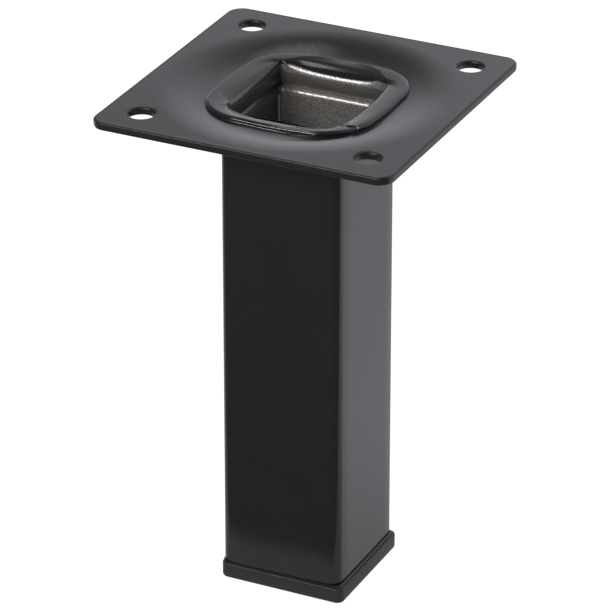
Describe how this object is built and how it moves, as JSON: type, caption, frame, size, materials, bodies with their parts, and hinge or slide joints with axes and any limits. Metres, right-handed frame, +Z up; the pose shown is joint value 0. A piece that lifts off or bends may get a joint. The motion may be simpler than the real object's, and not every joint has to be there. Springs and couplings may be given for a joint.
{
  "type": "square metal table leg",
  "caption": "Short square steel furniture leg with a dished, screw-on mounting plate folded to the top of the tube and a plastic plug as its foot.",
  "frame": {"origin": "middle of the foot plug's underside, on the floor that the leg stands on", "axes": "+Z up along the tube towards the mounting plate, +X and +Y square to the tube's faces"},
  "size_m": [0.06, 0.06, 0.1],
  "materials": {
    "plate_paint": "satin",
    "tube_paint": "satin",
    "plug_plastic": "fine matte"
  },
  "bodies": {
    "root": {"mounting_plate": "plate_paint", "leg_tube": "tube_paint", "foot_plug": "plug_plastic"}
  },
  "joints": []
}
